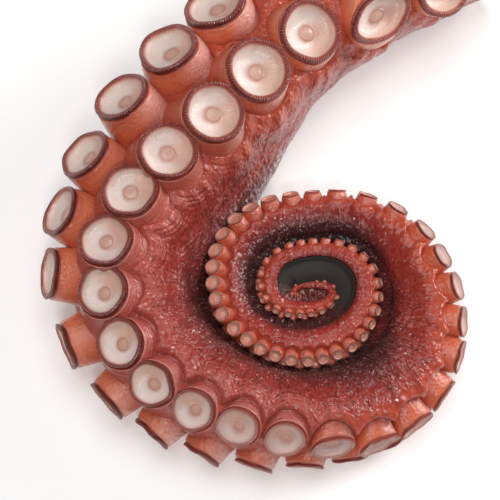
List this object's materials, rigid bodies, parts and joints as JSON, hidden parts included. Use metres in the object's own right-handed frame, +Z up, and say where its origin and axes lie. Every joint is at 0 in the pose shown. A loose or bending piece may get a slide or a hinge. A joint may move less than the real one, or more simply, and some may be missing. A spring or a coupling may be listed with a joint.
{
  "type": "cooked octopus arm",
  "caption": "Curled cooked octopus arm lying on its side, cut square at its thick base, with two rows of stalked suckers down to a tightly wound tip.",
  "frame": {"origin": "middle of the arm's box at the level of the surface that it lies on", "axes": "+Z up from that surface; +Y from the curl towards the cut base; +X to the right as seen in plan with the base at the top"},
  "size_m": [0.153, 0.2096, 0.0542],
  "materials": {
    "cooked_skin": "wet, glossy red-brown skin, orange on the sucker stalks and purple-black inside the curl"
  },
  "bodies": {
    "root": {"octopus_arm": "cooked_skin"}
  },
  "joints": []
}
